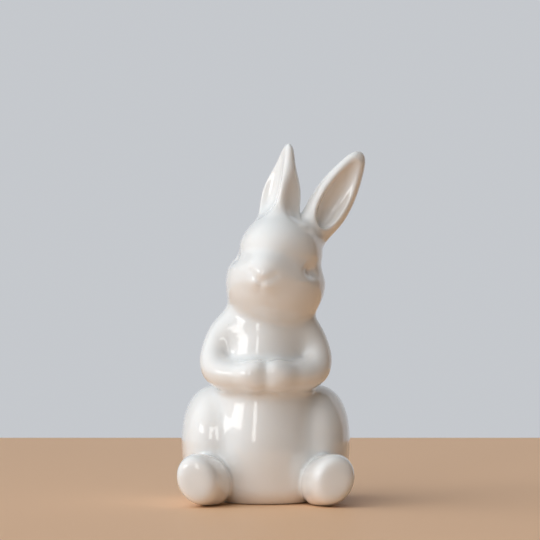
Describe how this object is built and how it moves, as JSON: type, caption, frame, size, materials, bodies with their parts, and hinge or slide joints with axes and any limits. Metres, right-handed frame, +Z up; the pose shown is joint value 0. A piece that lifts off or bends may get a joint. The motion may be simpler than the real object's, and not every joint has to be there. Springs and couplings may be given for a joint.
{
  "type": "ceramic rabbit figurine",
  "caption": "Glazed white porcelain rabbit sitting up with its head tilted, ears raised, forepaws held together and feet forward; a table or shelf ornament on a flat base ring",
  "frame": {"origin": "on the table under the middle of the chest, in the plane of the base ring", "axes": "+Z up, the rabbit faces -Y, and +X is to the right of a person who looks at its front"},
  "size_m": [0.062, 0.0593, 0.12],
  "materials": {
    "white_glaze": "high gloss clear glaze on white porcelain",
    "bare_porcelain": "unglazed, fine matte"
  },
  "bodies": {
    "root": {"torso_shell": "white_glaze", "base_plate": "bare_porcelain", "head_shell": "white_glaze", "ear_left": "white_glaze", "ear_right": "white_glaze", "arm_left": "white_glaze", "arm_right": "white_glaze", "haunch_left": "white_glaze", "haunch_right": "white_glaze", "foot_left": "white_glaze", "foot_right": "white_glaze", "tail": "white_glaze"}
  },
  "joints": []
}
